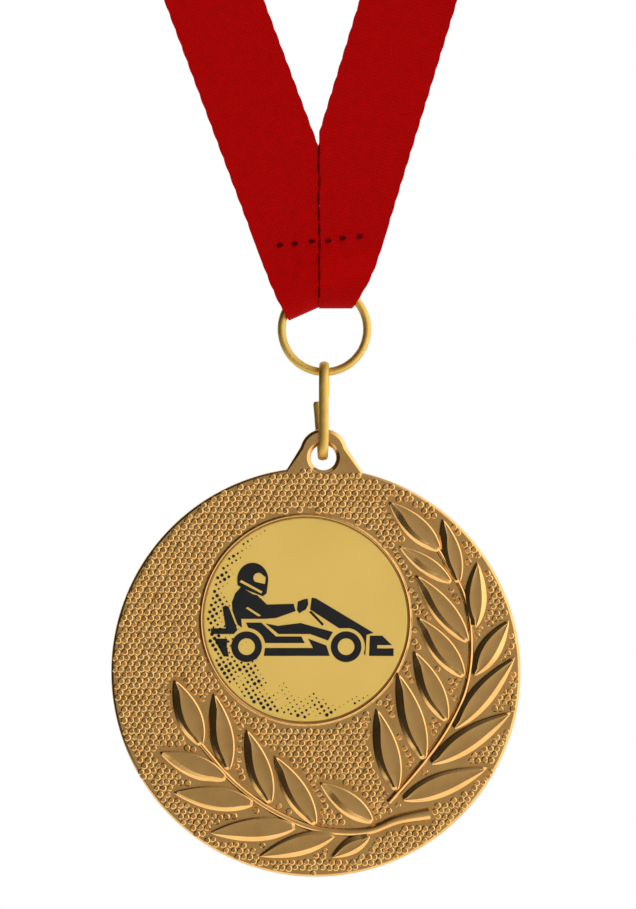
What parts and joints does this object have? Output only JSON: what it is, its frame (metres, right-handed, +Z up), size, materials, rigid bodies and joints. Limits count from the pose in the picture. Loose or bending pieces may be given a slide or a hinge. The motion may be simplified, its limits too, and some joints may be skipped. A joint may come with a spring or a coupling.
{
  "type": "neck ribbon medal",
  "caption": "Round cast medal with laurel sprays and a printed centre disc, hung by a wire clip and a jump ring from a red neck ribbon.",
  "frame": {"origin": "middle of the ribbon's inner face at the back of the neck, where a neck or a peg carries the loop", "axes": "+Z up as the medal hangs, +Y from the medal's face to its back, +X to the right seen from the face"},
  "size_m": [0.1628, 0.1003, 0.3555],
  "materials": {
    "cast_gold": "zinc casting, antique gold plate, polished on the high spots",
    "wire_gold": "bright gold plated steel wire",
    "foil_gold": "satin gold lacquered aluminium with black print",
    "adhesive_white": "double-sided adhesive film",
    "ribbon_red": "woven polyester grosgrain ribbon with scalloped selvedges",
    "thread_red": "polyester sewing thread"
  },
  "bodies": {
    "ribbon": {"neck_ribbon": "ribbon_red", "cross_seam": "thread_red", "centre_seam": "thread_red"},
    "ring": {"jump_ring": "wire_gold"},
    "clip": {"wire_clip": "wire_gold"},
    "medal": {"medal_casting": "cast_gold", "emblem_disc": "foil_gold", "emblem_adhesive": "adhesive_white"}
  },
  "joints": [
    {"name": "ring_swing", "type": "hinge", "parent": "ribbon", "child": "ring", "pos_m": [0.01092, -0.09699, -0.2795], "axis": [1, 0, 0], "range_deg": [-25, 25]},
    {"name": "clip_swing", "type": "hinge", "parent": "ring", "child": "clip", "pos_m": [0.01092, -0.09699, -0.28815], "axis": [1, 0, 0], "range_deg": [-60, 60]},
    {"name": "medal_swing", "type": "hinge", "parent": "clip", "child": "medal", "pos_m": [0.01082, -0.09699, -0.2986], "axis": [0, 1, 0], "range_deg": [-45, 45]}
  ]
}
